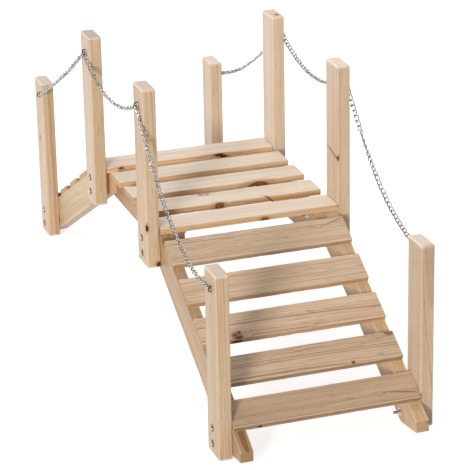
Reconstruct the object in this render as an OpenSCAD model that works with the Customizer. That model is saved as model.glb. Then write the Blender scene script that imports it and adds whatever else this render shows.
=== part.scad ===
// Wooden garden bridge: a level deck between two sloping ramps, with chains hung from eight posts.
// +X runs along the bridge to its front end, +Y across it to its right side, +Z up.
// The origin is on the ground, under the middle of the deck. Sizes are in millimetres.

/* [Frame] */
// Width over the outer faces of the ramp stringers, between the two rows of posts
frame_w = 520; // [400:5:900]
// Thickness of the stringers, across the bridge
stringer_t = 35; // [25:1:50]
// Depth of the stringers
stringer_h = 90; // [70:1:120]

/* [Slats] */
// Thickness of the slats
slat_t = 18; // [10:1:24]
// Width of the slats
slat_w = 88; // [60:1:110]
// Gap between the end of a slat and the posts' faces
slat_play = 1; // [0.5:0.5:5]

/* [Deck] */
// Height of the walking surface of the deck above the ground
deck_z = 424; // [350:1:600]
// Spacing of the deck slats, centre to centre
deck_pitch = 133.5; // [115:0.5:180]

/* [Ramps] */
// Level distance from the end of the deck to the toe of a ramp
ramp_run = 648; // [500:1:900]
// Drop from the deck's surface to the top edge of the ramp stringers, at the end of the deck
ramp_step = 25; // [16:1:50]
// Spacing of the ramp slats along the slope, centre to centre
ramp_pitch = 139; // [120:1:150]
// Distance along the slope from the end of the deck to the first ramp slat
ramp_first = 28; // [20:1:60]
// Length of ramp stringer that laps outside the deck stringer
stringer_lap = 71; // [55:1:120]
// Height of the upright cut at the toe of a ramp stringer
toe_h = 30; // [15:1:45]
// Height of the underside of the toe above the ground
toe_z = 18; // [8:1:30]
// Height of the heel, where the seat cut meets the underside of the stringer
heel_z = 4; // [1:1:8]

/* [Posts] */
// Thickness of the posts, across the bridge
post_t = 38; // [30:1:60]
// Width of the posts, along the bridge
post_w = 88; // [70:1:100]
// Length of every post
post_len = 512; // [400:1:700]
// Distance from the end of the deck back to the face of a deck post
post_setback = 4; // [0:1:20]
// Distance from the deck's surface down to the foot of a deck post
post_below_deck = 113; // [100:1:130]
// Distance from the front of an end post to the toe of its ramp
toe_past_post = 61; // [30:1:90]

/* [Chains] */
// Outer diameter of the chain
chain_d = 12; // [8:1:14]
// Sag of the chains along the deck
deck_sag = 66; // [20:1:120]
// Sag of the chains along the front ramp
front_sag = 95; // [10:1:140]
// Sag of the left chain along the rear ramp
rear_left_sag = 14; // [5:1:140]
// Sag of the right chain along the rear ramp
rear_right_sag = 36; // [5:1:140]

/* [Staples] */
// Wire diameter of the staples
wire_d = 3; // [2:0.5:5]
// Distance between the two legs of a staple
leg_gap = 17; // [16:1:30]
// Depth of the staple legs in the post
leg_depth = 22; // [12:1:28]
// Play of a staple leg in its hole, and of the chain under the crown
staple_play = 0.5; // [0.2:0.1:1]
// Distance from the top of a deck post down to its staple
deck_staple_drop = 52; // [25:1:90]
// Distance from the top of an end post down to its staple
end_staple_drop = 42; // [25:1:90]
// Distance of an end post's staple from the middle of the post, towards the front
end_staple_shift = 16; // [-25:1:25]

/* [Hidden] */
slat_count = 5;
hole_cut = 1;
chain_sides = 8;
chain_ring_gap = 2.5 * chain_d;
round_fn = 32;

front = 1;
rear = -1;
left = -1;
right = 1;

slat_len = frame_w - 2 * slat_play;
deck_end = ((slat_count - 1) * deck_pitch + slat_w) / 2;
under_deck = deck_z - slat_t;
toe_x = deck_end + ramp_run;
toe_top = toe_z + toe_h;
ramp_top = deck_z - ramp_step;
ramp_deg = atan((ramp_top - toe_top) / ramp_run);

deck_post_x = deck_end - post_setback - post_w / 2;
deck_post_z = deck_z - post_below_deck;
end_post_x = toe_x - toe_past_post - post_w / 2;
end_post_z = 0;

front_staple_x = end_post_x + end_staple_shift;
rear_staple_x = -end_post_x + end_staple_shift;

post_face_y = frame_w / 2 + post_t;
chain_y = post_face_y + chain_d / 2;
crown_y = post_face_y + chain_d + staple_play + wire_d / 2;
deck_staple_z = deck_post_z + post_len - deck_staple_drop;
end_staple_z = end_post_z + post_len - end_staple_drop;

pale_wood = [0.83, 0.74, 0.63];
tan_wood = [0.78, 0.65, 0.51];
warm_wood = [0.76, 0.60, 0.42];
zinc = [0.62, 0.62, 0.60];

// Height of the top edge of a ramp stringer at a distance x from the middle of the bridge
function stringer_top(x) = ramp_top - (x - deck_end) * tan(ramp_deg);

// Height of its underside there
function stringer_under(x) = stringer_top(x) - stringer_h / cos(ramp_deg);

// Distance from the middle of the bridge at which a line of the ramp's slope is dz below its height at the deck's end
function slope_x(dz) = deck_end + dz / tan(ramp_deg);

// A board across the bridge, with its top, rear-facing edge on the X axis
module slat() {
    translate([0, -slat_len / 2, 0])
        cube([slat_w, slat_len, slat_t]);
}

// Slats are counted from the rear end of the deck
module deck_slat(number) {
    color(pale_wood)
        translate([(number - 1) * deck_pitch - deck_end, 0, under_deck])
            slat();
}

// Slats are counted from the deck down
module ramp_slat(end, number) {
    color(tan_wood)
        rotate([0, 0, end == front ? 0 : 180])
            translate([deck_end, 0, ramp_top])
                rotate([0, ramp_deg, 0])
                    translate([ramp_first + (number - 1) * ramp_pitch, 0, 0])
                        slat();
}

// Lapped against the inner faces of the ramp stringers
module deck_stringer(side) {
    middle_y = frame_w / 2 - 1.5 * stringer_t;
    color(warm_wood)
        translate([-deck_end, side * middle_y - stringer_t / 2, under_deck - stringer_h])
            cube([2 * deck_end, stringer_t, stringer_h]);
}

// Cut level under the deck slat, upright at both ends, and with a seat at the toe
module ramp_stringer(end, side) {
    lap_x = deck_end - stringer_lap;
    heel_x = slope_x(ramp_top - stringer_h / cos(ramp_deg) - heel_z);
    level_x = slope_x(ramp_top - under_deck);
    outline = [
        [lap_x, stringer_under(lap_x)],
        [heel_x, heel_z],
        [toe_x, toe_z],
        [toe_x, toe_top],
        [level_x, under_deck],
        [lap_x, under_deck]
    ];
    middle_y = (frame_w - stringer_t) / 2;
    color(warm_wood)
        translate([0, side * middle_y + stringer_t / 2, 0])
            rotate([90, 0, 0])
                linear_extrude(stringer_t)
                    polygon([for (p = outline) [end * p[0], p[1]]]);
}

// Turns a shape drawn along +Z so that it runs outward from a post's outer face
module on_post_face(side, x, z) {
    translate([x, side * post_face_y, z])
        rotate([-side * 90, 0, 0])
            children();
}

module post(side, x, foot_z, staple_x, staple_z) {
    color(pale_wood)
        difference() {
            translate([x - post_w / 2, side * (frame_w + post_t) / 2 - post_t / 2, foot_z])
                cube([post_w, post_t, post_len]);
            for (dz = [-leg_gap / 2, leg_gap / 2])
                on_post_face(side, staple_x, staple_z + dz)
                    translate([0, 0, -leg_depth - staple_play])
                        cylinder(d = wire_d + staple_play, h = leg_depth + staple_play + hole_cut, $fn = round_fn);
        }
}

module deck_post(end, side) {
    post(side, end * deck_post_x, deck_post_z, end * deck_post_x, deck_staple_z);
}

module end_post(end, side) {
    post(side, end * end_post_x, end_post_z, end * end_post_x + end_staple_shift, end_staple_z);
}

// A wire staple with its crown upright over the chain
module staple(side, x, z) {
    crown_out = crown_y - post_face_y;
    color(zinc)
        union() {
            for (dz = [-leg_gap / 2, leg_gap / 2])
                on_post_face(side, x, z + dz)
                    translate([0, 0, -leg_depth]) {
                        cylinder(d = wire_d, h = leg_depth + crown_out, $fn = round_fn);
                        translate([0, 0, leg_depth + crown_out])
                            sphere(d = wire_d, $fn = round_fn);
                    }
            translate([x, side * crown_y, z - leg_gap / 2])
                cylinder(d = wire_d, h = leg_gap, $fn = round_fn);
        }
}

module staples(side) {
    for (end = [rear, front])
        staple(side, end * deck_post_x, deck_staple_z);
    for (x = [rear_staple_x, front_staple_x])
        staple(side, x, end_staple_z);
}

// A point of a chain hung from a to b, and its direction there, both as [x, z]
function chain_point(a, b, sag, u) = a + u * (b - a) - [0, 4 * sag * u * (1 - u)];
function chain_direction(a, b, sag, u) =
    let (d = b - a - [0, 4 * sag * (1 - 2 * u)])
    d / norm(d);

// The plain round outline of a hanging chain, from a to b along +X, with upright ends
module chain(side, a, b, sag) {
    steps = ceil(norm(b - a) / chain_ring_gap);
    angles = [for (k = [0 : chain_sides - 1]) (k + 0.5) * 360 / chain_sides];
    rings = [
        for (i = [0 : steps])
            let (
                p = chain_point(a, b, sag, i / steps),
                d = (i == 0 || i == steps) ? [1, 0] : chain_direction(a, b, sag, i / steps)
            )
            for (t = angles)
                [
                    p[0] - d[1] * sin(t) * chain_d / 2,
                    side * chain_y + cos(t) * chain_d / 2,
                    p[1] + d[0] * sin(t) * chain_d / 2
                ]
    ];
    walls = [
        for (i = [0 : steps - 1], k = [0 : chain_sides - 1])
            let (next = (k + 1) % chain_sides)
            [
                i * chain_sides + k,
                (i + 1) * chain_sides + k,
                (i + 1) * chain_sides + next,
                i * chain_sides + next
            ]
    ];
    start_cap = [for (k = [0 : chain_sides - 1]) k];
    end_cap = [for (k = [chain_sides - 1 : -1 : 0]) steps * chain_sides + k];
    color(zinc)
        polyhedron(points = rings, faces = concat(walls, [start_cap, end_cap]));
}

module deck_chain(side) {
    chain(side, [-deck_post_x, deck_staple_z], [deck_post_x, deck_staple_z], deck_sag);
}

module front_chain(side) {
    chain(side, [deck_post_x, deck_staple_z], [front_staple_x, end_staple_z], front_sag);
}

module rear_chain(side, sag) {
    chain(side, [rear_staple_x, end_staple_z], [-deck_post_x, deck_staple_z], sag);
}

deck_slat(1);  // deck_slat_1
deck_slat(2);  // deck_slat_2
deck_slat(3);  // deck_slat_3
deck_slat(4);  // deck_slat_4
deck_slat(5);  // deck_slat_5
ramp_slat(front, 1);  // front_ramp_slat_1
ramp_slat(front, 2);  // front_ramp_slat_2
ramp_slat(front, 3);  // front_ramp_slat_3
ramp_slat(front, 4);  // front_ramp_slat_4
ramp_slat(front, 5);  // front_ramp_slat_5
ramp_slat(rear, 1);  // rear_ramp_slat_1
ramp_slat(rear, 2);  // rear_ramp_slat_2
ramp_slat(rear, 3);  // rear_ramp_slat_3
ramp_slat(rear, 4);  // rear_ramp_slat_4
ramp_slat(rear, 5);  // rear_ramp_slat_5
deck_stringer(left);  // deck_stringer_left
deck_stringer(right);  // deck_stringer_right
ramp_stringer(front, left);  // front_ramp_stringer_left
ramp_stringer(front, right);  // front_ramp_stringer_right
ramp_stringer(rear, left);  // rear_ramp_stringer_left
ramp_stringer(rear, right);  // rear_ramp_stringer_right
deck_post(front, left);  // deck_post_front_left
deck_post(front, right);  // deck_post_front_right
deck_post(rear, left);  // deck_post_rear_left
deck_post(rear, right);  // deck_post_rear_right
end_post(front, left);  // end_post_front_left
end_post(front, right);  // end_post_front_right
end_post(rear, left);  // end_post_rear_left
end_post(rear, right);  // end_post_rear_right
deck_chain(left);  // deck_chain_left
deck_chain(right);  // deck_chain_right
front_chain(left);  // front_chain_left
front_chain(right);  // front_chain_right
rear_chain(left, rear_left_sag);  // rear_chain_left
rear_chain(right, rear_right_sag);  // rear_chain_right
staples(left);  // staples_left
staples(right);  // staples_right
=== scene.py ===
"""Looks of the wooden garden bridge: eased, figured timber, twisted-link chains, staples and bolts.

+X runs along the bridge to its front end, +Y across it to its right side, +Z up. Lengths are in metres.
"""
import math

import bmesh
import bpy
import numpy as np
from mathutils import Matrix, Vector, noise


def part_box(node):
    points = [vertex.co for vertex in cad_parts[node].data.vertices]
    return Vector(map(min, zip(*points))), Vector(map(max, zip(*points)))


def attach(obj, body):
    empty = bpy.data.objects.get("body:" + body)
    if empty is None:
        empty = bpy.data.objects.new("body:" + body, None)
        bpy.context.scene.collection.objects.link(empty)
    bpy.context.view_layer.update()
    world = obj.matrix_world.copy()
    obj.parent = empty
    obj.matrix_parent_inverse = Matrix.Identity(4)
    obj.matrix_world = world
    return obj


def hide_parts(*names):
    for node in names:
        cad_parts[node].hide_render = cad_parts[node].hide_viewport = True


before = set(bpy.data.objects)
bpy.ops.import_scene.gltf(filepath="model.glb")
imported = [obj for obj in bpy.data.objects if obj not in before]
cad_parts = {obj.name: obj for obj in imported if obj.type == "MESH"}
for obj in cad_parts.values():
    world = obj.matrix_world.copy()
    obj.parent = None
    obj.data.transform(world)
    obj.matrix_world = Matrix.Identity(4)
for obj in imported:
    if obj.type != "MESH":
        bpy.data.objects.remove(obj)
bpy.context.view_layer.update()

MM = 0.001
X = Vector((1, 0, 0))
Y = Vector((0, 1, 0))
Z = Vector((0, 0, 1))
WHITE = (1.0, 1.0, 1.0, 1.0)
BODY = "root"
SIDES = {"left": -1, "right": 1}
ENDS = {"front": 1, "rear": -1}
POST_KINDS = ("deck_post", "end_post")


# Camera, fitted to the corners of posts, slats and stringers
CAMERA_PLACE = (6.0349, -1.9690, 2.7296)
CAMERA_YAW = 2.8174
CAMERA_PITCH = -0.3717
CAMERA_ROLL = -0.0195
FOCAL_PIXELS = 2347.8
IMAGE_PIXELS = 470
SENSOR_MM = 36.0
CLIP_END = 200.0


def make_camera():
    level = math.cos(CAMERA_PITCH)
    ahead = Vector((level * math.cos(CAMERA_YAW), level * math.sin(CAMERA_YAW), math.sin(CAMERA_PITCH)))
    right = ahead.cross(Z).normalized()
    up = right.cross(ahead)
    rolled_right = math.cos(CAMERA_ROLL) * right + math.sin(CAMERA_ROLL) * up
    rolled_up = math.cos(CAMERA_ROLL) * up - math.sin(CAMERA_ROLL) * right
    lens = bpy.data.cameras.new("camera")
    lens.sensor_width = SENSOR_MM
    lens.lens = FOCAL_PIXELS / IMAGE_PIXELS * SENSOR_MM
    lens.clip_end = CLIP_END
    camera = bpy.data.objects.new("camera", lens)
    turn = Matrix((rolled_right, rolled_up, -ahead)).transposed()
    camera.matrix_world = Matrix.Translation(CAMERA_PLACE) @ turn.to_4x4()
    bpy.context.scene.collection.objects.link(camera)
    bpy.context.scene.camera = camera


# Materials
def srgb(red, green, blue):
    """A colour given as it looks on a screen, 0 to 255, as the linear colour that nodes use."""
    linear = []
    for value in (red, green, blue):
        part = value / 255
        linear.append(part / 12.92 if part <= 0.04045 else ((part + 0.055) / 1.055) ** 2.4)
    return (*linear, 1.0)


def lightened(colour, factor):
    """A screen colour made lighter, or darker by a factor under 1, as a linear colour."""
    return srgb(*(value * factor for value in colour))


class Nodes:
    """Short calls that build a node tree."""

    def __init__(self, tree):
        self.tree = tree

    def feed(self, socket, value):
        if isinstance(value, bpy.types.NodeSocket):
            self.tree.links.new(value, socket)
        else:
            socket.default_value = value

    def add(self, kind, inputs=None, **settings):
        node = self.tree.nodes.new("ShaderNode" + kind)
        for name, value in settings.items():
            setattr(node, name, value)
        for name, value in (inputs or {}).items():
            self.feed(node.inputs[name], value)
        return node

    def math(self, operation, *values):
        node = self.add("Math", operation=operation)
        for socket, value in zip(node.inputs, values):
            self.feed(socket, value)
        return node.outputs[0]

    def vector(self, operation, *values):
        node = self.add("VectorMath", operation=operation)
        for socket, value in zip(node.inputs, values):
            self.feed(socket, value)
        return node.outputs["Value" if operation in ("LENGTH", "DOT_PRODUCT") else "Vector"]

    def step(self, value, low, high):
        """0 below low, 1 above high, smooth between. With low above high it falls."""
        node = self.add("MapRange", {"Value": value}, interpolation_type="SMOOTHSTEP")
        node.inputs["From Min"].default_value = min(low, high)
        node.inputs["From Max"].default_value = max(low, high)
        node.inputs["To Min"].default_value = 0.0 if low < high else 1.0
        node.inputs["To Max"].default_value = 1.0 if low < high else 0.0
        return node.outputs["Result"]

    def mix(self, share, first, second, blend="MIX"):
        node = self.add("Mix", data_type="RGBA", blend_type=blend)
        colours = [socket for socket in node.inputs if socket.type == "RGBA"]
        self.feed(node.inputs["Factor"], share)
        self.feed(colours[0], first)
        self.feed(colours[1], second)
        return next(socket for socket in node.outputs if socket.type == "RGBA")

    def noise(self, place, stretch, seed, detail=2.0, roughness=0.5):
        scaled = self.vector("MULTIPLY", place, stretch)
        inputs = {"Vector": scaled, "W": seed, "Scale": 1.0, "Detail": detail, "Roughness": roughness}
        return self.add("TexNoise", inputs, noise_dimensions="4D").outputs[0]

    def centred_noise(self, place, stretch, seed, detail=2.0):
        """Noise that swings about 0."""
        return self.math("SUBTRACT", self.noise(place, stretch, seed, detail), 0.5)


def new_material(name):
    """A material, the calls that build its nodes, and its shader."""
    material = bpy.data.materials.new(name)
    material.use_nodes = True
    return material, Nodes(material.node_tree), material.node_tree.nodes["Principled BSDF"]


def add_bump(graph, shader, height, strength, depth):
    bump = graph.add("Bump", {"Height": height, "Strength": strength, "Distance": depth})
    graph.feed(shader.inputs["Normal"], bump.outputs["Normal"])


# Grain of the timber. A stretch says how often a noise changes in a metre along, across and through a board
FIGURE_INPUTS = {"Place": "Vector", "Pith": "Vector", "Tilt": "Vector", "Seed": "Float", "Spacing": "Float",
                 "Bulge": "Float"}
FIGURE_OUTPUTS = ("Late", "Fibre", "Streak", "Dash")
DRIFT_STRETCH = (2.0, 9, 9)
DRIFT_REACH = 16 * MM
WOBBLE_STRETCH = (12, 60, 60)
WOBBLE_REACH = 2.4 * MM
LATE_RISE = (0.25, 0.85)
LATE_FALL = (1.0, 0.9)
RING_LEAST = 0.1
RING_SPREAD = 0.9
PATCH_STRETCH = (5, 45, 45)
PATCH_LEAST = 0.4
PATCH_SPREAD = 1.1
FIBRE_STRETCH = (9, 330, 330)
STREAK_STRETCH = (1.6, 34, 34)
DASH_STRETCH = (22, 320, 320)
DASH_RISE = (0.61, 0.73)


def figure_group():
    """The grain of a board: rings round a pith that lies outside it, fibres and slow changes of tone."""
    tree = bpy.data.node_groups.new("timber_figure", "ShaderNodeTree")
    for name, kind in FIGURE_INPUTS.items():
        tree.interface.new_socket(name, in_out="INPUT", socket_type="NodeSocket" + kind)
    for name in FIGURE_OUTPUTS:
        tree.interface.new_socket(name, in_out="OUTPUT", socket_type="NodeSocketFloat")
    graph = Nodes(tree)
    given = tree.nodes.new("NodeGroupInput").outputs
    place, seed = given["Place"], given["Seed"]
    along = graph.add("SeparateXYZ", {"Vector": place}).outputs["X"]
    run = graph.add("CombineXYZ", {"X": along, "Y": along, "Z": along}).outputs[0]
    lean = graph.vector("MULTIPLY", given["Tilt"], run)
    from_pith = graph.vector("SUBTRACT", graph.vector("SUBTRACT", place, given["Pith"]), lean)
    radius = graph.vector("LENGTH", graph.vector("MULTIPLY", from_pith, (0, 1, 1)))
    drift = graph.centred_noise(place, DRIFT_STRETCH, seed)
    wobble = graph.centred_noise(place, WOBBLE_STRETCH, seed, detail=3.0)
    radius = graph.math("MULTIPLY_ADD", drift, DRIFT_REACH, radius)
    radius = graph.math("MULTIPLY_ADD", wobble, WOBBLE_REACH, radius)
    radius = graph.math("ADD", radius, given["Bulge"])
    phase = graph.math("DIVIDE", radius, given["Spacing"])
    ring = graph.math("FLOOR", phase)
    share = graph.math("FRACT", phase)
    late = graph.math("MULTIPLY", graph.step(share, *LATE_RISE), graph.step(share, *LATE_FALL))
    ring_seed = graph.math("ADD", ring, seed)
    draw = graph.add("TexWhiteNoise", {"W": ring_seed}, noise_dimensions="1D").outputs["Value"]
    weight = graph.math("MULTIPLY_ADD", graph.math("MULTIPLY", draw, draw), RING_SPREAD, RING_LEAST)
    patchy = graph.math("MULTIPLY_ADD", graph.noise(place, PATCH_STRETCH, seed), PATCH_SPREAD, PATCH_LEAST)
    made = {
        "Late": graph.math("MULTIPLY", graph.math("MULTIPLY", late, weight), patchy),
        "Fibre": graph.noise(place, FIBRE_STRETCH, seed, detail=4.0, roughness=0.65),
        "Streak": graph.noise(place, STREAK_STRETCH, seed, detail=3.0, roughness=0.55),
        "Dash": graph.step(graph.noise(place, DASH_STRETCH, seed, detail=1.0), *DASH_RISE),
    }
    out = tree.nodes.new("NodeGroupOutput")
    for name, value in made.items():
        tree.links.new(value, out.inputs[name])
    return tree


# Knots, and dark streaks drawn like them that are partly painted shade:
# distances are shares of a mark's radii
KNOT_AND_SHADE_HEART = srgb(148, 100, 60)
KNOT_AND_SHADE_EDGE = srgb(48, 28, 12)
KNOT_AND_SHADE_HALO = srgb(174, 128, 82)
KNOT_DULL = 0.9
KNOT_WANDER = 0.5
BULGE_FALL = (3.2, 0.6)
BULGE_SHARE = 0.9
HEART_FALL = (1.1, 0.8)
KNOT_RIM_RISE = (0.7, 0.95)
YEAR_GAP = 0.14
YEAR_DARK = 4.5
HALO_FALL = (2.4, 0.9)
HALO_SHARE = 0.75


def knot_and_shade_shares(graph, place, wander, knots_and_shade):
    """How far each knot and shade streak pushes the rings aside,
    and the shares of their hearts, dark edges and halos.
    """
    bulge, heart, edge, halo = 0.0, 0.0, 0.0, 0.0
    for centre, radii, dark, slant in knots_and_shade:
        apart = graph.vector("SUBTRACT", place, centre)
        if slant:
            lean = graph.math("MULTIPLY", graph.vector("DOT_PRODUCT", apart, (0, 1, 1)), slant)
            apart = graph.vector("SUBTRACT", apart, graph.add("CombineXYZ", {"X": lean}).outputs[0])
        straight = graph.vector("LENGTH", graph.vector("DIVIDE", apart, radii))
        away = graph.math("MULTIPLY_ADD", wander, KNOT_WANDER, straight)
        push = graph.math("MULTIPLY", graph.step(away, *BULGE_FALL), BULGE_SHARE * max(radii[1:]))
        bulge = graph.math("ADD", bulge, push)
        core = graph.math("MULTIPLY", graph.step(away, *HEART_FALL), min(dark, 1.0))
        heart = graph.math("MAXIMUM", heart, core)
        if dark > 1:
            edge = graph.math("MAXIMUM", edge, graph.math("MULTIPLY", core, dark - 1))
        rim = graph.math("MULTIPLY", graph.step(away, *KNOT_RIM_RISE), core)
        years = graph.math("MULTIPLY", graph.math("PINGPONG", away, YEAR_GAP), YEAR_DARK)
        edge = graph.math("MAXIMUM", edge, graph.math("MAXIMUM", rim, graph.math("MULTIPLY", years, core)))
        around = graph.math("MULTIPLY", graph.step(away, *HALO_FALL), HALO_SHARE * min(dark, 1.0))
        halo = graph.math("MAXIMUM", halo, around)
    return bulge, heart, edge, halo


# Tones of the timber, as they look on a screen: plain wood, warmer streaks, late wood of the rings
TONES = {
    # The deck's pale tone is partly painted sheen: its slats' tops, seen at a low angle, are painted paler
    "deck": {"plain": (238, 216, 190), "warm": (228, 200, 167), "late": (176, 133, 92)},
    "ramp": {"plain": (217, 187, 155), "warm": (204, 170, 134), "late": (138, 98, 64)},
    "post": {"plain": (205, 180, 151), "warm": (197, 165, 129), "late": (160, 120, 80)},
    "stringer": {"plain": (203, 171, 131), "warm": (188, 150, 107), "late": (146, 102, 62)},
}
CONTRAST = {"deck": 0.6, "ramp": 0.8, "post": 0.7, "stringer": 0.7}
STREAK_RISE = (0.35, 0.68)
FIBRE_RISE = (0.42, 0.72)
FIBRE_SHARE = 0.4
DASH_SHARE = 0.8

# Boards that differ from their kind: how light, warm and glossy they are,
# and how light their edges and ends are. This is partly their own tone, partly painted light and shade
EVEN = {"light": 1.0, "warm": 0.0, "gloss": 1.0, "edges": 1.0, "ends": 1.0}
SHADES = {
    "deck_slat_1": {"edges": 1.12},
    "deck_slat_3": {"ends": 0.93},
    "front_ramp_slat_2": {"light": 1.05, "edges": 1.04, "ends": 0.9},
    "front_ramp_slat_3": {"light": 1.06, "edges": 1.07, "ends": 0.95},
    # The two lowest ramp slats are darker: partly their own tone, partly painted shade, as less light falls
    # at the front
    "front_ramp_slat_4": {"light": 0.94, "warm": 0.03, "edges": 0.93},
    "front_ramp_slat_5": {"light": 0.84, "warm": 0.06, "edges": 0.93},
    "deck_stringer_left": {"light": 0.82, "warm": 0.4, "ends": 0.82},
    "deck_stringer_right": {"warm": 0.28, "ends": 1.2},
    "front_ramp_stringer_left": {"light": 0.85, "warm": 0.03, "ends": 0.96},
    "front_ramp_stringer_right": {"light": 1.17, "warm": -0.02, "ends": 1.1},
    "rear_ramp_stringer_left": {"light": 1.04, "warm": -0.17, "ends": 1.3},
    "end_post_front_left": {"light": 0.97, "warm": -0.03, "gloss": 0.2},
    "end_post_front_right": {"light": 0.89, "ends": 1.07},
    "deck_post_front_left": {"gloss": 0.35},
    "deck_post_front_right": {"light": 0.96, "warm": 0.08, "ends": 1.1},
    "deck_post_rear_left": {"gloss": 0.75, "ends": 0.88},
    # The rear right posts are lighter: partly their own tone, partly painted light, as more light falls at
    # the rear
    "deck_post_rear_right": {"light": 1.05, "warm": -0.06},
    "end_post_rear_left": {"warm": 0.05, "gloss": 0.65},
    "end_post_rear_right": {"light": 1.2, "warm": -0.02, "ends": 1.1},
}


def grain_colour(graph, tone, shade, figure):
    """Plain wood with warm streaks, darkened by late wood, fibres and dashes, in the board's own shade."""
    plain, warm, late = (srgb(*TONES[tone][key]) for key in ("plain", "warm", "late"))
    contrast = CONTRAST[tone]
    colour = graph.mix(graph.step(figure["Streak"], *STREAK_RISE), plain, warm)
    colour = graph.mix(graph.math("MULTIPLY", figure["Late"], contrast), colour, late)
    fibres = graph.step(figure["Fibre"], *FIBRE_RISE)
    colour = graph.mix(graph.math("MULTIPLY", fibres, FIBRE_SHARE * contrast), colour, late)
    colour = graph.mix(graph.math("MULTIPLY", figure["Dash"], DASH_SHARE * contrast), colour, late)
    # The board's own tint: partly its tone, partly painted light and shade
    light, warmth = shade["light"], shade["warm"]
    tint = (light, light * (1 - warmth / 2), light * (1 - warmth), 1.0)
    return graph.mix(1.0, colour, tint, "MULTIPLY")


# Faces, edges and finish of the timber
ALONG = 0
ACROSS = 1
END_FACING = (0.45, 0.8)
EDGE_FACING = (0.6, 0.9)
# Slats' narrow faces are tinted darker than their tops; on the deck this takes back the painted sheen
EDGE_TINTS = {"deck": (224, 206, 180), "ramp": (222, 210, 190)}
END_GRAIN = {
    "deck": (182, 149, 110),
    "ramp": (182, 151, 114),
    "post": (228, 213, 198),
    "stringer": (158, 128, 94),
}
END_SHARE = 0.85
WANDER_STRETCH = (60, 130, 130)
# ARRIS is partly the pale of rubbed wood, partly a painted highlight on eased edges and post rims
ARRIS = srgb(232, 213, 190)
ARRIS_SHARE = 0.35
ARRIS_WANDER = 4 * MM
ARRIS_FALL = (4.5 * MM, 0.5 * MM)
POST_RIM_SHARE = 0.6
POST_RIM_FALL = (7 * MM, 4 * MM)
ROUGH_LEAST = 0.34
ROUGH_FIBRE = 0.2
ROUGH_ENDS = 0.15
RAISED_LATE = 0.5
SUNK_DASH = 0.5
GRAIN_BUMP = 0.35
GRAIN_DEPTH = 0.35 * MM
GLOSS = {"deck": 1.0, "ramp": 1.0, "post": 1.0, "stringer": 0.4}
FUZZ = {"deck": 0.3, "ramp": 0.3, "post": 0.3, "stringer": 0.1}
FUZZ_ROUGHNESS = 0.5
SAWN_GLOSS = 0.25


def facing(graph, board, axis, rise):
    """1 on the faces square to one of the board's axes, 0 on the others."""
    normal = graph.add("NewGeometry").outputs["Normal"]
    turned = graph.vector("DOT_PRODUCT", normal, tuple(board["axes"][axis]))
    return graph.step(graph.math("ABSOLUTE", turned), *rise)


def rubbed_and_highlit_edges(graph, colour, board, tone, place, wander, end):
    """Pale along the arrises, and on posts beside the rims of their ends:
    partly rubbed fibres, partly a painted highlight where the eased edges catch the light.
    """
    size = board["size"]
    parts = graph.add("SeparateXYZ", {"Vector": graph.vector("ABSOLUTE", place)}).outputs
    across = graph.math("SUBTRACT", size[1] / 2, parts["Y"])
    through = graph.math("SUBTRACT", size[2] / 2, parts["Z"])
    inward = graph.math("MULTIPLY_ADD", wander, ARRIS_WANDER, graph.math("MAXIMUM", across, through))
    # Arrises and post rims lightened: partly rubbed wood, partly painted highlight
    arris = graph.step(inward, *ARRIS_FALL)
    colour = graph.mix(graph.math("MULTIPLY", arris, ARRIS_SHARE), colour, ARRIS)
    if tone == "post":
        rim = graph.step(graph.math("SUBTRACT", size[0] / 2, parts["X"]), *POST_RIM_FALL)
        beside = graph.math("SUBTRACT", POST_RIM_SHARE, graph.math("MULTIPLY", end, POST_RIM_SHARE))
        colour = graph.mix(graph.math("MULTIPLY", rim, beside), colour, ARRIS)
    return colour


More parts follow.
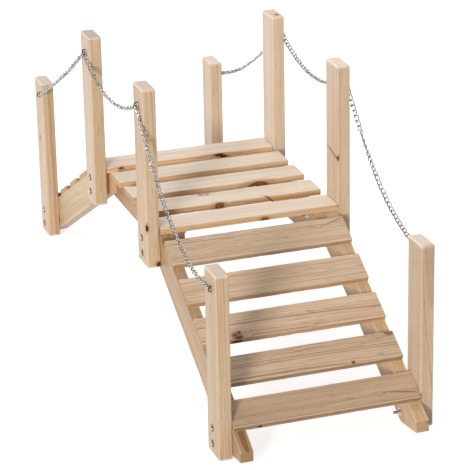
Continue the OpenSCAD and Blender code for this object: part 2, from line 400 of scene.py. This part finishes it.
def timber(name, board, tone, seed, knots_and_shade):
    """A material for one board.
    Knots and shade streaks are each a centre, radii, darkness and slant, in the board's axes.
    """
    material, graph, shader = new_material(name)
    shade = board["shade"]
    turn = board["axes"].to_euler("XYZ")
    shift = -(board["axes"] @ board["centre"])
    where = graph.add("TexCoord").outputs["Object"]
    place = graph.add("Mapping", {"Vector": where, "Location": shift, "Rotation": turn}).outputs["Vector"]
    wander = graph.centred_noise(place, WANDER_STRETCH, seed)
    bulge, heart, edge, halo = knot_and_shade_shares(graph, place, wander, knots_and_shade)
    group = graph.add("Group", node_tree=FIGURE)
    given = {"Place": place, "Seed": seed, "Bulge": bulge}
    given |= {"Pith": board["pith"], "Tilt": board["tilt"], "Spacing": board["spacing"]}
    for key, value in given.items():
        graph.feed(group.inputs[key], value)
    figure = {key: group.outputs[key] for key in FIGURE_OUTPUTS}
    colour = grain_colour(graph, tone, shade, figure)
    end = facing(graph, board, ALONG, END_FACING)
    sawn = end
    # Slats' narrow faces darkened, on the deck taking back the painted sheen of its pale tone
    if tone in EDGE_TINTS:
        side = facing(graph, board, ACROSS, EDGE_FACING)
        colour = graph.mix(side, colour, lightened(EDGE_TINTS[tone], shade["edges"]), "MULTIPLY")
        sawn = graph.math("MAXIMUM", end, side)
    end_grain = lightened(END_GRAIN[tone], shade["ends"])
    colour = graph.mix(graph.math("MULTIPLY", end, END_SHARE), colour, end_grain)
    colour = rubbed_and_highlit_edges(graph, colour, board, tone, place, wander, end)
    # Knots, and streaks that are partly painted shade, darkened in
    if knots_and_shade:
        colour = graph.mix(halo, colour, KNOT_AND_SHADE_HALO)
        colour = graph.mix(heart, colour, KNOT_AND_SHADE_HEART)
        colour = graph.mix(edge, colour, KNOT_AND_SHADE_EDGE)
    graph.feed(shader.inputs["Base Color"], colour)
    rough = graph.math("MULTIPLY_ADD", figure["Fibre"], ROUGH_FIBRE, ROUGH_LEAST)
    graph.feed(shader.inputs["Roughness"], graph.math("MULTIPLY_ADD", end, ROUGH_ENDS, rough))
    height = graph.math("MULTIPLY_ADD", figure["Late"], RAISED_LATE, figure["Fibre"])
    height = graph.math("SUBTRACT", height, graph.math("MULTIPLY", figure["Dash"], SUNK_DASH))
    add_bump(graph, shader, height, GRAIN_BUMP, GRAIN_DEPTH)
    planed = graph.math("MULTIPLY_ADD", sawn, SAWN_GLOSS - 1, 1.0)
    planed = graph.math("MULTIPLY", planed, graph.math("MULTIPLY_ADD", heart, -KNOT_DULL, 1.0))
    planed = graph.math("MULTIPLY", planed, shade["gloss"])
    graph.feed(shader.inputs["Specular IOR Level"], graph.math("MULTIPLY", planed, GLOSS[tone]))
    graph.feed(shader.inputs["Sheen Weight"], graph.math("MULTIPLY", planed, FUZZ[tone]))
    shader.inputs["Sheen Roughness"].default_value = FUZZ_ROUGHNESS
    return material


# Zinc-coated steel
CRYSTAL_SCALE = 260.0
CRYSTAL_SHARE = 0.6
BLOTCH_STRETCH = (160, 160, 160)
BLOTCH_SHARE = 1.6
BLOTCH_START = -0.6
ZINC_ROUGH_LEAST = 0.1
ZINC_ROUGH_SPREAD = 0.3
ZINC_BUMP = 0.25
ZINC_DEPTH = 0.2 * MM


def galvanised(name, dull, bright):
    """Grey metal with fine crystals and larger blotches, between a dull and a bright tone."""
    material, graph, shader = new_material(name)
    where = graph.add("TexCoord").outputs["Object"]
    crystal = graph.add("TexVoronoi", {"Vector": where, "Scale": CRYSTAL_SCALE}).outputs["Color"]
    grey = graph.add("SeparateXYZ", {"Vector": crystal}).outputs["X"]
    blotch = graph.noise(where, BLOTCH_STRETCH, 0.0, detail=3.0)
    tone = graph.math("MULTIPLY_ADD", blotch, BLOTCH_SHARE, BLOTCH_START)
    tone = graph.math("MULTIPLY_ADD", grey, CRYSTAL_SHARE, tone)
    graph.feed(shader.inputs["Base Color"], graph.mix(tone, dull, bright))
    rough = graph.math("MULTIPLY_ADD", blotch, ZINC_ROUGH_SPREAD, ZINC_ROUGH_LEAST)
    graph.feed(shader.inputs["Roughness"], rough)
    shader.inputs["Metallic"].default_value = 1.0
    add_bump(graph, shader, blotch, ZINC_BUMP, ZINC_DEPTH)
    return material


# Pieces
SEED_STEPS = (1.37, 2.11)
SEED_START = (0.31, 0.17, 0.73)


def seeded(first, second):
    """A fixed number from -1 to 1 for each pair of numbers."""
    spot = (first * SEED_STEPS[0] + SEED_START[0], second * SEED_STEPS[1] + SEED_START[1], SEED_START[2])
    return noise.noise(Vector(spot))


def finish_piece(name, mesh, material, nodes=()):
    """Puts a piece into the scene, with its material, body and slot, and the nodes that it stands for."""
    piece = bpy.data.objects.new(name, mesh)
    bpy.context.scene.collection.objects.link(piece)
    piece.data.materials.append(material)
    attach(piece, BODY)
    if nodes:
        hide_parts(*nodes)
    return piece


class Shape:
    """Points and faces of a piece while it is being made."""

    def __init__(self):
        self.points = []
        self.faces = []

    def add_ring(self, centre, across, other, radii):
        """A ring of points round a centre, one for each radius."""
        for k, radius in enumerate(radii):
            turn = 2 * math.pi * k / len(radii)
            self.points.append(centre + radius * (math.cos(turn) * across + math.sin(turn) * other))

    def skin(self, first, rings, sides, closed):
        """Quads between rings of points, and flat ends unless the rings close on themselves."""
        for i in range(rings if closed else rings - 1):
            here = first + i * sides
            there = first + (i + 1) % rings * sides
            for k in range(sides):
                after = (k + 1) % sides
                self.faces.append((here + k, here + after, there + after, there + k))
        if not closed:
            last = first + (rings - 1) * sides
            self.faces.append(tuple(range(first + sides - 1, first - 1, -1)))
            self.faces.append(tuple(range(last, last + sides)))

    def sweep(self, line, radius, sides, closed=False):
        """A round wire along a line of points, its section carried on from point to point."""
        count = len(line)
        first = len(self.points)
        across = None
        for i, point in enumerate(line):
            before = line[i - 1] if closed or i else line[0]
            after = line[(i + 1) % count] if closed or i < count - 1 else line[-1]
            ahead = (after - before).normalized()
            if across is None:
                across = ahead.orthogonal()
            across = (across - ahead * across.dot(ahead)).normalized()
            self.add_ring(point, across, ahead.cross(across), [radius] * sides)
        self.skin(first, count, sides, closed)

    def turned(self, start, axis, profile, sides, wave=None):
        """A solid turned round an axis from (distance along it, radius) pairs. wave adds to the radius."""
        across = axis.orthogonal().normalized()
        first = len(self.points)
        for along, radius in profile:
            radii = [radius] * sides
            if wave:
                radii = [radius + wave(along, 2 * math.pi * k / sides) for k in range(sides)]
            self.add_ring(start + axis * along, across, axis.cross(across), radii)
        self.skin(first, len(profile), sides, False)

    def mesh(self, name, sharp_deg):
        made = bpy.data.meshes.new(name)
        made.from_pydata(self.points, [], self.faces)
        made.polygons.foreach_set("use_smooth", [True] * len(made.polygons))
        made.set_sharp_from_angle(angle=math.radians(sharp_deg))
        made.update()
        return made


# Chains: twisted links along lines that hang from staple to staple
CHAIN_WIRE = 3.0 * MM
LINK_WIDTH = 13.5 * MM
LINK_PITCH = 16 * MM
LINK_PLAY = 1.03
LINK_STEPS = 36
WIRE_SIDES = 8
WIRE_SHARP_DEG = 60
FINE_STEPS = 400
CHAIN_STAND = 4 * MM
STAPLE_DROP = {"deck": 52 * MM, "end": 42 * MM}
STAPLE_SHIFT = {"deck": 0.0, "end": 16 * MM}
SAGS = {
    "deck_chain": {"left": 66 * MM, "right": 66 * MM},
    "front_chain": {"left": 95 * MM, "right": 103 * MM},
    "rear_chain": {"left": 14 * MM, "right": 36 * MM},
}
SPANS = {
    "deck_chain": ("deck_post_rear", "deck_post_front"),
    "front_chain": ("deck_post_front", "end_post_front"),
    "rear_chain": ("end_post_rear", "deck_post_rear"),
}

# How the links turn along each chain: shares of its length and degrees from lying flat to the front left
LINK_FLAT_SIDE = Vector((0.87, -0.29, 0.39))
LINK_TURNS = {
    "deck_chain_left": ((0.0, 20), (0.5, -30), (1.0, 40)),
    "deck_chain_right": ((0.0, 0), (0.5, 50), (1.0, 110)),
    "front_chain_left": ((0.0, 50), (0.5, 40), (1.0, 60)),
    "front_chain_right": ((0.0, 40), (0.1, 10), (0.2, 20), (0.26, 90), (0.35, 140), (0.55, 180), (1.0, 180)),
    "rear_chain_left": ((0.0, 10), (0.3, -25), (0.6, 20), (1.0, -10)),
    "rear_chain_right": ((0.0, 0), (0.5, 90), (1.0, 180)),
}
TURN_JITTER = {"deck_chain_left": 80.0, "rear_chain_left": 80.0}
MILD_JITTER = 30.0
PLACE_JITTER = 1.6 * MM
TURN_DRAW_STEP = 3
PLACE_DRAWS = (7, 8, 9)


def staple_point(post, side):
    """Where a chain lies against a post's outer face."""
    low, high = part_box(f"{post}_{side}")
    face = high.y if side == "right" else low.y
    kind = post.split("_")[0]
    x = (low.x + high.x) / 2 + STAPLE_SHIFT[kind]
    return Vector((x, face + SIDES[side] * CHAIN_STAND, high.z - STAPLE_DROP[kind]))


def hanging_line(start, end, sag, steps):
    line = []
    for i in range(steps + 1):
        share = i / steps
        line.append(start.lerp(end, share) - Z * 4 * sag * share * (1 - share))
    return line


def line_length(line):
    return sum((b - a).length for a, b in zip(line, line[1:]))


def even_points(line, count):
    """count places at the middles of equal shares of a line, each with its direction."""
    reach = np.concatenate([[0.0], np.cumsum([(b - a).length for a, b in zip(line, line[1:])])])
    spots = (np.arange(count) + 0.5) / count * reach[-1]
    columns = np.array(line)
    places = np.stack([np.interp(spots, reach, columns[:, k]) for k in range(3)], axis=1)
    which = np.clip(np.searchsorted(reach, spots) - 1, 0, len(line) - 2)
    made = []
    for place, step in zip(places, which):
        made.append((Vector(place), (line[step + 1] - line[step]).normalized()))
    return made


def link_line(place, ahead, pitch, roll):
    """The middle of a link's wire: a round-ended loop, twisted a quarter turn from end to end."""
    half_length = (pitch + CHAIN_WIRE * LINK_PLAY) / 2
    bend = (LINK_WIDTH - CHAIN_WIRE) / 2
    straight = half_length - bend
    wide = ahead.cross(LINK_FLAT_SIDE).normalized()
    deep = ahead.cross(wide)
    line = []
    for i in range(LINK_STEPS):
        turn = 2 * math.pi * (i + 0.5) / LINK_STEPS
        along = bend * math.cos(turn) + math.copysign(straight, math.cos(turn))
        across = bend * math.sin(turn)
        angle = roll + along / half_length * math.pi / 4
        line.append(place + ahead * along + across * (math.cos(angle) * wide + math.sin(angle) * deep))
    return line


def make_chain(span, side, material):
    start, end = (staple_point(post, side) for post in SPANS[span])
    sag = SAGS[span][side]
    fine = hanging_line(start, end, sag, FINE_STEPS)
    length = line_length(fine)
    count = round(length / LINK_PITCH)
    name = f"{span}_{side}"
    shares, turns = zip(*LINK_TURNS[name])
    jitter = TURN_JITTER.get(name, MILD_JITTER)
    shape = Shape()
    for i, (place, ahead) in enumerate(even_points(fine, count)):
        turn = np.interp((i + 0.5) / count, shares, turns) + jitter * seeded(i * TURN_DRAW_STEP, len(name))
        shift = PLACE_JITTER * Vector([seeded(i, draw) for draw in PLACE_DRAWS])
        line = link_line(place + shift, ahead, length / count, math.radians(turn))
        shape.sweep(line, CHAIN_WIRE / 2, WIRE_SIDES, closed=True)
    links = f"{name}_links"
    piece = finish_piece(links, shape.mesh(links, WIRE_SHARP_DEG), material, [name])


# Staples
STAPLE_WIRE = 3 * MM
STAPLE_SIDES = 12
STAPLE_GAP = 14 * MM
STAPLE_BEND = 4 * MM
STAPLE_DEPTH = 22 * MM
CROWN_CLEAR = 6.5 * MM
BEND_STEPS = 6


def staple_line(side, place):
    """The middle of a staple's wire, from one point to the other, over the chain."""
    out = Y * SIDES[side]
    face = place - out * CHAIN_STAND
    crown = CROWN_CLEAR + STAPLE_WIRE / 2
    line = [face - out * STAPLE_DEPTH + Z * STAPLE_GAP / 2]
    for end in (1, -1):
        middle = face + out * (crown - STAPLE_BEND) + Z * end * (STAPLE_GAP / 2 - STAPLE_BEND)
        arc = []
        for i in range(BEND_STEPS + 1):
            turn = math.pi / 2 * i / BEND_STEPS
            arc.append(middle + STAPLE_BEND * (math.sin(turn) * out + math.cos(turn) * end * Z))
        line += arc if end > 0 else arc[::-1]
    line.append(face - out * STAPLE_DEPTH - Z * STAPLE_GAP / 2)
    return line


def make_staples(side, material):
    shape = Shape()
    for kind in POST_KINDS:
        for end in ENDS:
            line = staple_line(side, staple_point(f"{kind}_{end}", side))
            shape.sweep(line, STAPLE_WIRE / 2, STAPLE_SIDES)
    name = f"staples_{side}"
    wire = f"{name}_wire"
    finish_piece(wire, shape.mesh(wire, WIRE_SHARP_DEG), material, [name])


# Bolts: domed heads on the posts' outer faces, nuts on the inner faces of the stringers
BOLT_HEIGHTS = (30 * MM, 74 * MM)
BOLT_SHIFT = -6 * MM
BOLT_RADIUS = 4 * MM
BOLT_SHARP_DEG = 35
ROUND_SIDES = 28
HEAD_RADIUS = 7 * MM
HEAD_HEIGHT = 4.5 * MM
HEAD_RIM = 0.8 * MM
HEAD_FOOT = 0.97 * HEAD_RADIUS
HEAD_EASE = 0.3 * HEAD_RIM
DOME_STEPS = 8
WASHER_RADIUS = 10.5 * MM
WASHER_THICK = 1.5 * MM
WASHER_EASE = 0.2 * WASHER_THICK
WASHER_TOP = 0.96 * WASHER_RADIUS
NUT_FLAT = 6.5 * MM
NUT_CORNER = NUT_FLAT / math.cos(math.pi / 6)
NUT_HEIGHT = 6.5 * MM
NUT_EASE = 0.6 * MM
NUT_FOOT = 0.96 * NUT_CORNER
NUT_TOP = 0.95 * NUT_CORNER
NUT_SIDES = 36
THREAD_END = 18 * MM
THREAD_PITCH = 1 * MM
THREAD_DEPTH = 0.35 * MM
THREAD_STEPS = 6
THREAD_SIDES = 16
TIP_LENGTH = 0.5 * MM
TIP_TAPER = 0.7 * MM
WASHER_PROFILE = (
    (0.0, WASHER_RADIUS),
    (WASHER_THICK - WASHER_EASE, WASHER_RADIUS),
    (WASHER_THICK, WASHER_TOP),
)
NUT_PROFILE = (
    (0.0, NUT_FOOT),
    (NUT_EASE, NUT_CORNER),
    (NUT_HEIGHT - NUT_EASE, NUT_CORNER),
    (NUT_HEIGHT, NUT_TOP),
)


def head_profile():
    profile = [(0.0, HEAD_FOOT), (HEAD_EASE, HEAD_RADIUS), (HEAD_RIM, HEAD_RADIUS)]
    for i in range(1, DOME_STEPS):
        turn = math.pi / 2 * i / DOME_STEPS
        profile.append((HEAD_RIM + (HEAD_HEIGHT - HEAD_RIM) * math.sin(turn), HEAD_RADIUS * math.cos(turn)))
    return profile


def thread_profile():
    """The thread's outer radius in fine steps from inside the nut to the bolt's end, then a short taper."""
    first = WASHER_THICK + NUT_HEIGHT - THREAD_PITCH
    steps = round((THREAD_END - first) / THREAD_PITCH * THREAD_STEPS)
    profile = [(first + (THREAD_END - first) * i / steps, BOLT_RADIUS) for i in range(steps + 1)]
    return profile + [(THREAD_END + TIP_LENGTH, BOLT_RADIUS - TIP_TAPER)]


def thread_wave(along, turn):
    """Cuts the groove of the thread."""
    share = (along / THREAD_PITCH + turn / (2 * math.pi)) % 1.0
    return -THREAD_DEPTH * abs(2 * share - 1)


def nut_wave(along, turn):
    """Takes a round section of the nut's corner radius in to six flats."""
    sixth = math.pi / 3
    off = (turn + sixth / 2) % sixth - sixth / 2
    return NUT_FLAT / math.cos(off) - NUT_CORNER


def add_bolt(shapes, outer, inner, inward):
    """A bolt from a point on a post's outer face to one on the inner face of the wood behind it."""
    shapes["heads"].turned(outer - inward * WASHER_THICK, -inward, head_profile(), ROUND_SIDES)
    # Outer washers carry painted shade; inner washers share the nuts' painted light
    shapes["washers"].turned(outer, -inward, WASHER_PROFILE, ROUND_SIDES)
    shapes["nuts"].turned(inner, inward, WASHER_PROFILE, ROUND_SIDES)
    shapes["nuts"].turned(inner + inward * WASHER_THICK, inward, NUT_PROFILE, NUT_SIDES, nut_wave)
    shapes["threads"].turned(inner, inward, thread_profile(), THREAD_SIDES, thread_wave)


def make_bolts(kind, end, side, materials):
    post = f"{kind}_{end}_{side}"
    stringer = f"deck_stringer_{side}" if kind == "deck_post" else f"{end}_ramp_stringer_{side}"
    low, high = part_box(post)
    inner_low, inner_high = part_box(stringer)
    right = side == "right"
    inward = -Y * SIDES[side]
    shapes = {name: Shape() for name in materials}
    for height in BOLT_HEIGHTS:
        middle = Vector(((low.x + high.x) / 2 + BOLT_SHIFT, 0, low.z + height))
        outer = middle + Y * (high.y if right else low.y)
        inner = middle + Y * (inner_low.y if right else inner_high.y)
        add_bolt(shapes, outer, inner, inward)
    for name, shape in shapes.items():
        full_name = f"bolt_{name}_{post}"
        finish_piece(full_name, shape.mesh(full_name, BOLT_SHARP_DEG), materials[name])


# Boards: each is its solid with eased edges, cut into short lengths so that its arrises can wander
LONG_EASE = {"slat": 1.6 * MM, "stringer": 2.0 * MM, "post": 4.0 * MM}
END_EASE = {"slat": 0.8 * MM, "stringer": 0.8 * MM, "post": 3.6 * MM}
EASE_STEPS = 3
WELD_GAP = 0.02 * MM
FLAT_DEG = 1
EDGE_DEG = 20
STRAIGHT = 0.999
CUT_GAP = 9 * MM
CUT_MERGE = 1e-6
ARRIS_REACH = 3 * MM
ARRIS_WEAR = 1.1 * MM
BITE_SCALE = 38
NICK_SCALE = 120
NICK_SHARE = 0.6
NICK_START = 0.2
FACE_WAVE = 0.15 * MM
WAVE_SCALE = 14
WEAR_SEED_STEPS = (7.3, 3.1, 5.7)


def slope_normal(slat):
    """The upward normal of a ramp slat, from its highest and its outermost corner."""
    corners = [vert.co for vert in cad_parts[slat].data.vertices]
    top = max(corners, key=lambda point: point.z)
    outer = max(corners, key=lambda point: abs(point.x))
    down = Vector((outer.x - top.x, 0, outer.z - top.z)).normalized()
    return Vector((abs(down.z) * math.copysign(1, down.x), 0, abs(down.x)))


def board_axes(node):
    """Rows along the grain, across the board and through its thickness."""
    if "post" in node:
        along, thick = Z, Y
    elif "slat" in node:
        along = Y
        thick = slope_normal(node) if "ramp" in node else Z
    elif "deck" in node:
        along, thick = X, -Y
    else:
        end = node.split("_")[0]
        thick = -Y * ENDS[end]
        along = slope_normal(f"{end}_ramp_slat_1").cross(thick)
    return Matrix((along, thick.cross(along), thick))


def solid_of(node, axes):
    """The board's solid in its own axes, with whole faces. Posts are made without their staple holes."""
    solid = bmesh.new()
    if "post" in node:
        low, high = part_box(node)
        bmesh.ops.create_cube(solid, size=1.0)
        size = high - low
        for vert in solid.verts:
            vert.co = Vector(c * s for c, s in zip(vert.co, size)) + (low + high) / 2
    else:
        solid.from_mesh(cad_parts[node].data)
        bmesh.ops.remove_doubles(solid, verts=solid.verts[:], dist=WELD_GAP)
        flat = math.radians(FLAT_DEG)
        bmesh.ops.dissolve_limit(solid, angle_limit=flat, verts=solid.verts[:], edges=solid.edges[:])
    for vert in solid.verts:
        vert.co = axes @ vert.co
    corners = np.array([vert.co for vert in solid.verts])
    middle = Vector((corners.min(0) + corners.max(0)) / 2)
    for vert in solid.verts:
        vert.co -= middle
    return solid, axes.transposed() @ middle, Vector(corners.max(0) - corners.min(0))


def ease_edges(solid, along_grain, width):
    edges = []
    for edge in solid.edges:
        run = (edge.verts[1].co - edge.verts[0].co).normalized()
        runs_along = abs(run.x) > STRAIGHT
        if runs_along == along_grain and edge.calc_face_angle(0.0) > math.radians(EDGE_DEG):
            edges.append(edge)
    bmesh.ops.bevel(solid, geom=edges, offset=width, offset_type="OFFSET", segments=EASE_STEPS, profile=0.5,
                    affect="EDGES", clamp_overlap=True)


def cut_lengths(solid, size):
    for axis in range(3):
        count = int(size[axis] / CUT_GAP)
        normal = Vector((0, 0, 0))
        normal[axis] = 1.0
        for i in range(1, count):
            place = normal * (size[axis] * (i / count - 0.5))
            every = solid.verts[:] + solid.edges[:] + solid.faces[:]
            bmesh.ops.bisect_plane(solid, geom=every, dist=CUT_MERGE, plane_co=place, plane_no=normal)


def wear(solid, size, seed):
    """Lets the arrises wander inward and the faces wave a little."""
    away = Vector([seed * step for step in WEAR_SEED_STEPS])
    for vert in solid.verts:
        across = size[1] / 2 - abs(vert.co.y)
        through = size[2] / 2 - abs(vert.co.z)
        near = max(0.0, 1.0 - max(across, through) / ARRIS_REACH)
        bite = max(0.0, noise.noise(vert.co * BITE_SCALE + away))
        nick = max(0.0, noise.noise(vert.co * NICK_SCALE + away) - NICK_START)
        push = near * (bite + NICK_SHARE * nick) * ARRIS_WEAR
        wave = FACE_WAVE * noise.noise(vert.co * WAVE_SCALE + away)
        vert.co.y -= math.copysign(push, vert.co.y)
        vert.co.z -= math.copysign(push + wave * (1 - near), vert.co.z)


# Knots, cracks and dark streaks that are partly painted shade: board, place in its axes
# and radii in millimetres, darkness, and slant where it has one
KNOTS_AND_SHADE_STREAKS = {
    "deck_slat_1": [((88, -44, 3), (14, 6, 4), 1.8), ((102, -44, -3), (12, 6, 4), 1.8),
                    ((-214, -44, 2), (8, 4, 3), 1.3)],
    "deck_slat_3": [((116, -44, -9), (31, 11, 14), 1.2)],
    "deck_slat_4": [((-76, 36, 9), (5, 4, 4), 1.6), ((-53, 35, 9), (4, 3, 4), 1.3),
                    ((-64, 34, 9), (13, 9, 6), 0.35), ((-45, -44, 0), (14, 8, 10), 1.0),
                    ((105, -44, 0), (4, 8, 12), 0.95, -1.0)],
    "deck_slat_5": [((43, -44, -5), (12, 6, 6), 1.2)],
    "front_ramp_slat_1": [((226, 29, 9), (5, 10, 4), 0.6, 3.1)],
    "front_ramp_slat_3": [((-153, -24, 9), (4, 5, 4), 1.4), ((-166, -30, 9), (6, 4, 4), 1.2),
                          ((-157, -39, 9), (11, 5, 4), 1.1), ((-161, -34, 9), (16, 13, 5), 0.4),
                          ((-163, -44, -3), (17, 4, 6), 1.8)],
    "front_ramp_slat_4": [((118, -39, 9), (5, 4, 4), 1.6), ((246, 40, 9), (12, 9, 8), 0.75)],
    "front_ramp_slat_5": [((-187, -44, -4), (7, 6, 6), 1.9), ((214, -18, 9), (11, 8, 4), 0.65, -4.8)],
    "deck_post_front_left": [((-138, 42, -18), (10, 7, 5), 1.9), ((-247, 44, 14), (7, 5, 8), 1.8)],
    "deck_post_front_right": [((-4, 10, -19), (4, 36, 5), 0.75, -0.24), ((-9, 43, -18), (8, 5, 4), 1.2)],
    "deck_post_rear_right": [((256, 20, 4), (6, 6, 5), 0.9)],
    "end_post_front_right": [((250, 44, 17), (175, 8, 26), 0.2)],
    "end_post_rear_left": [((64, -8, -19), (9, 5, 5), 1.8)],
    # Both streaks on this stringer's top are partly figure, partly painted shade: under the lowest ramp slat
    # at the toe and under the deck's front slat at the upper end
    "front_ramp_stringer_left": [((330, 45, -2), (75, 6, 8), 0.6), ((-318, 45, 0), (22, 8, 22), 0.5)],
    "rear_ramp_stringer_left": [((268, -23, -17), (10, 7, 6), 0.9)],
}

# The trunk that a board was sawn from: how far off its pith lies, at which angle from the board's width,
# how the pith tilts, and the gaps between its rings
PITH_REACH = 120 * MM
PITH_SPREAD = 60 * MM
PITH_ANGLE = 0.5
TILT_ACROSS = 0.03
TILT_THROUGH = 0.04
RING_GAP = 6.5 * MM
RING_GAP_SPREAD = 2.5 * MM
BOARD_SEED_STEP = 1.7


def tone_of(node):
    if "post" in node:
        return "post"
    if "stringer" in node:
        return "stringer"
    return "deck" if "deck" in node else "ramp"


def knots_and_shade_streaks_of(node):
    knots_and_shade = []
    for place, radii, dark, *slant in KNOTS_AND_SHADE_STREAKS.get(node, ()):
        knots_and_shade.append((tuple(c * MM for c in place), tuple(r * MM for r in radii), dark, sum(slant)))
    return knots_and_shade


def board_facts(node, number, axes, centre, size):
    """What a board's material needs: where the board lies, how its rings run, and its own shade."""
    far, turned, tilt_across, tilt_through, side, gap = (seeded(number, draw) for draw in range(1, 7))
    beside = math.copysign(1, side)
    angle = beside * PITH_ANGLE * (1 + turned)
    reach = PITH_REACH + PITH_SPREAD * far
    return {
        "axes": axes,
        "centre": centre,
        "size": size,
        "pith": (0, beside * reach * math.cos(angle), reach * math.sin(angle)),
        "tilt": (0, tilt_across * TILT_ACROSS, tilt_through * TILT_THROUGH),
        "spacing": RING_GAP + RING_GAP_SPREAD * gap,
        "shade": EVEN | SHADES.get(node, {}),
    }


def make_board(node, number):
    kind = next(k for k in LONG_EASE if k in node)
    axes = board_axes(node)
    solid, centre, size = solid_of(node, axes)
    ease_edges(solid, True, LONG_EASE[kind])
    ease_edges(solid, False, END_EASE[kind])
    cut_lengths(solid, size)
    wear(solid, size, number)
    for vert in solid.verts:
        vert.co = axes.transposed() @ vert.co + centre
    name = f"{node}_timber"
    mesh = bpy.data.meshes.new(name)
    bmesh.ops.recalc_face_normals(solid, faces=solid.faces[:])
    solid.to_mesh(mesh)
    solid.free()
    mesh.polygons.foreach_set("use_smooth", [True] * len(mesh.polygons))
    board = board_facts(node, number, axes, centre, size)
    material = timber(name, board, tone_of(node), number * BOARD_SEED_STEP, knots_and_shade_streaks_of(node))
    piece = finish_piece(name, mesh, material, [node])
    smooth = piece.modifiers.new("smooth", "WEIGHTED_NORMAL")
    smooth.keep_sharp = True


# Stage
FLOOR_REACH = 40.0
FLOOR_GREY = (0.6, 0.6, 0.6, 1.0)
FLOOR_GLOW = 0.72
SKY_LEVEL = 0.43
DARK_SIDE = (0.87, -0.1, 0.45)
DARK_RISE = (-0.1, 0.5)
DARK_LEVEL = 0.02
LAMPS = {
    "rear": {"from": (-0.66, -0.35, 0.66), "power": 1.3, "spread": 60.0},
    "front": {"from": (0.77, -0.59, 0.23), "power": 2.5, "spread": 14.0},
}


def make_floor():
    """A matt floor that glows just enough to look white, and still takes the bridge's shadow."""
    mesh = bpy.data.meshes.new("floor")
    corners = [(-FLOOR_REACH, -FLOOR_REACH, 0), (FLOOR_REACH, -FLOOR_REACH, 0),
               (FLOOR_REACH, FLOOR_REACH, 0), (-FLOOR_REACH, FLOOR_REACH, 0)]
    mesh.from_pydata(corners, [], [(0, 1, 2, 3)])
    floor = bpy.data.objects.new("floor", mesh)
    bpy.context.scene.collection.objects.link(floor)
    material, graph, shader = new_material("floor_white")
    graph.tree.nodes.remove(shader)
    path = graph.add("LightPath").outputs
    shown = graph.math("MAXIMUM", path["Is Camera Ray"], path["Is Glossy Ray"])
    shown = graph.math("MAXIMUM", shown, path["Is Transmission Ray"])
    matt = graph.add("BsdfDiffuse", {"Color": FLOOR_GREY})
    glow = graph.add("Emission", {"Strength": graph.math("MULTIPLY", shown, FLOOR_GLOW)})
    both = graph.add("AddShader")
    graph.tree.links.new(matt.outputs[0], both.inputs[0])
    graph.tree.links.new(glow.outputs[0], both.inputs[1])
    graph.tree.links.new(both.outputs[0], graph.tree.nodes["Material Output"].inputs["Surface"])
    floor.data.materials.append(material)


def make_world():
    """Soft light from all round. It looks white, and in reflections it has a dark side, as a studio has."""
    world = bpy.data.worlds.new("studio")
    world.use_nodes = True
    bpy.context.scene.world = world
    graph = Nodes(world.node_tree)
    back = world.node_tree.nodes["Background"]
    back.inputs["Color"].default_value = WHITE
    path = graph.add("LightPath").outputs
    direction = graph.add("TexCoord").outputs["Generated"]
    dark = graph.step(graph.vector("DOT_PRODUCT", direction, DARK_SIDE), *DARK_RISE)
    mirrored = graph.math("MULTIPLY_ADD", dark, DARK_LEVEL - 1, 1.0)
    change = graph.math("SUBTRACT", mirrored, SKY_LEVEL)
    level = graph.math("MULTIPLY_ADD", path["Is Glossy Ray"], change, SKY_LEVEL)
    shown = graph.math("MAXIMUM", path["Is Camera Ray"], path["Is Transmission Ray"])
    graph.feed(back.inputs["Strength"], graph.math("MAXIMUM", level, shown))


def make_lamps():
    for name, facts in LAMPS.items():
        light = bpy.data.lights.new(name, "SUN")
        light.energy = facts["power"]
        light.angle = math.radians(facts["spread"])
        lamp = bpy.data.objects.new(name, light)
        lamp.rotation_euler = Vector(facts["from"]).to_track_quat("Z", "Y").to_euler()
        bpy.context.scene.collection.objects.link(lamp)


bpy.context.scene.view_settings.view_transform = "Standard"
make_camera()
CHAIN_ZINC = galvanised("zinc", srgb(118, 116, 113), srgb(214, 212, 208))
# The staples are painted near black: painted shade where the chains end at the posts
STAPLE_ZINC_PAINTED_SHADE = galvanised("staple_zinc_painted_shade", srgb(36, 34, 32), srgb(84, 80, 75))
# One zinc in four tones: outer washers painted dark as painted shade round the domed heads, nuts and inner
# washers painted bright as painted light
BOLT_ZINC = {
    "heads": galvanised("head_zinc", srgb(156, 152, 145), srgb(206, 201, 192)),
    "washers": galvanised("washer_zinc_painted_shade", srgb(78, 75, 70), srgb(124, 120, 112)),
    "nuts": galvanised("nut_zinc_painted_light", srgb(206, 202, 194), srgb(240, 236, 228)),
    "threads": galvanised("thread_zinc", srgb(92, 93, 94), srgb(150, 151, 152)),
}
for span_name in SPANS:
    for side_name in SIDES:
        make_chain(span_name, side_name, CHAIN_ZINC)
for side_name in SIDES:
    make_staples(side_name, STAPLE_ZINC_PAINTED_SHADE)
    for post_kind in POST_KINDS:
        for end_name in ENDS:
            make_bolts(post_kind, end_name, side_name, BOLT_ZINC)
FIGURE = figure_group()
boards = [node for node in sorted(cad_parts) if any(kind in node for kind in LONG_EASE)]
for index, node_name in enumerate(boards):
    make_board(node_name, index + 1)
make_floor()
make_world()
make_lamps()
